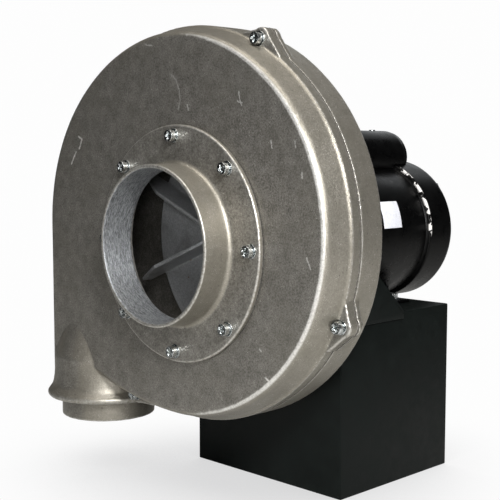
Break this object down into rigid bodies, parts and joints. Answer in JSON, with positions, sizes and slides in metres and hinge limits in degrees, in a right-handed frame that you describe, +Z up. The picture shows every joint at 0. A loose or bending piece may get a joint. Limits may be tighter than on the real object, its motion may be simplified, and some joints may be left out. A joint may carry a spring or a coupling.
{
  "type": "combustion fan",
  "caption": "Direct-drive cast scroll blower with flanged inlet collar, slip outlet, open radial-blade impeller and foot-mounted motor on a sheet-steel pedestal.",
  "frame": {"origin": "centre of the rectangular base bolt pattern, on the underside of the pedestal (the floor)", "axes": "+Z up; +Y along the shaft from the inlet towards the motor; +X to the right seen from the inlet"},
  "size_m": [0.4334, 0.3835, 0.4621],
  "materials": {
    "cast_housing": "matte sand-cast",
    "cast_collar": "satin turned casting",
    "impeller_metal": "satin cast",
    "zinc_fastener": "zinc plated",
    "steel": "machined",
    "laminations": "stacked sheet",
    "copper_winding": "varnished wire",
    "motor_paint": "gloss",
    "pedestal_paint": "satin",
    "gasket": "matte",
    "seal_rubber": "matte",
    "fan_plastic": "moulded",
    "phenolic": "moulded",
    "capacitor_can": "moulded",
    "governor_metal": "stamped",
    "label_film": "printed film"
  },
  "bodies": {
    "frame": {"front_cover": "cast_housing", "rear_housing": "cast_housing", "housing_gasket": "gasket", "housing_screws": "zinc_fastener", "housing_lock_washers": "zinc_fastener", "housing_washers": "zinc_fastener", "inlet_collar": "cast_collar", "inlet_gasket": "gasket", "inlet_screws": "zinc_fastener", "inlet_lock_washers": "zinc_fastener", "inlet_washers": "zinc_fastener", "shaft_seal": "seal_rubber", "seal_retainer": "cast_collar", "seal_screws": "zinc_fastener", "housing_bracket": "pedestal_paint", "bracket_bolts": "zinc_fastener", "bracket_nuts": "zinc_fastener", "pad_bolts": "zinc_fastener", "pad_washers": "zinc_fastener", "pedestal": "pedestal_paint", "motor_frame": "motor_paint", "front_end_bell": "motor_paint", "rear_end_bell": "motor_paint", "through_bolts": "zinc_fastener", "motor_base": "motor_paint", "motor_bolts": "zinc_fastener", "motor_washers": "zinc_fastener", "motor_nuts": "zinc_fastener", "stator_core": "laminations", "stator_windings": "copper_winding", "front_bearing_outer": "steel", "rear_bearing_outer": "steel", "start_switch": "phenolic", "capacitor_cover": "motor_paint", "capacitor": "capacitor_can", "capacitor_screws": "zinc_fastener", "rating_plate": "label_film", "lead_grommet": "seal_rubber"},
    "rotor": {"impeller": "impeller_metal", "impeller_key": "steel", "impeller_bolt": "zinc_fastener", "impeller_washer": "zinc_fastener", "rotor_core": "laminations", "motor_shaft": "steel", "front_bearing_inner": "steel", "rear_bearing_inner": "steel", "bearing_balls": "steel", "governor": "governor_metal", "cooling_fan": "fan_plastic"}
  },
  "joints": [
    {"name": "shaft_spin", "type": "hinge", "parent": "frame", "child": "rotor", "pos_m": [0, 0, 0.254], "axis": [0, 1, 0], "continuous": true}
  ]
}
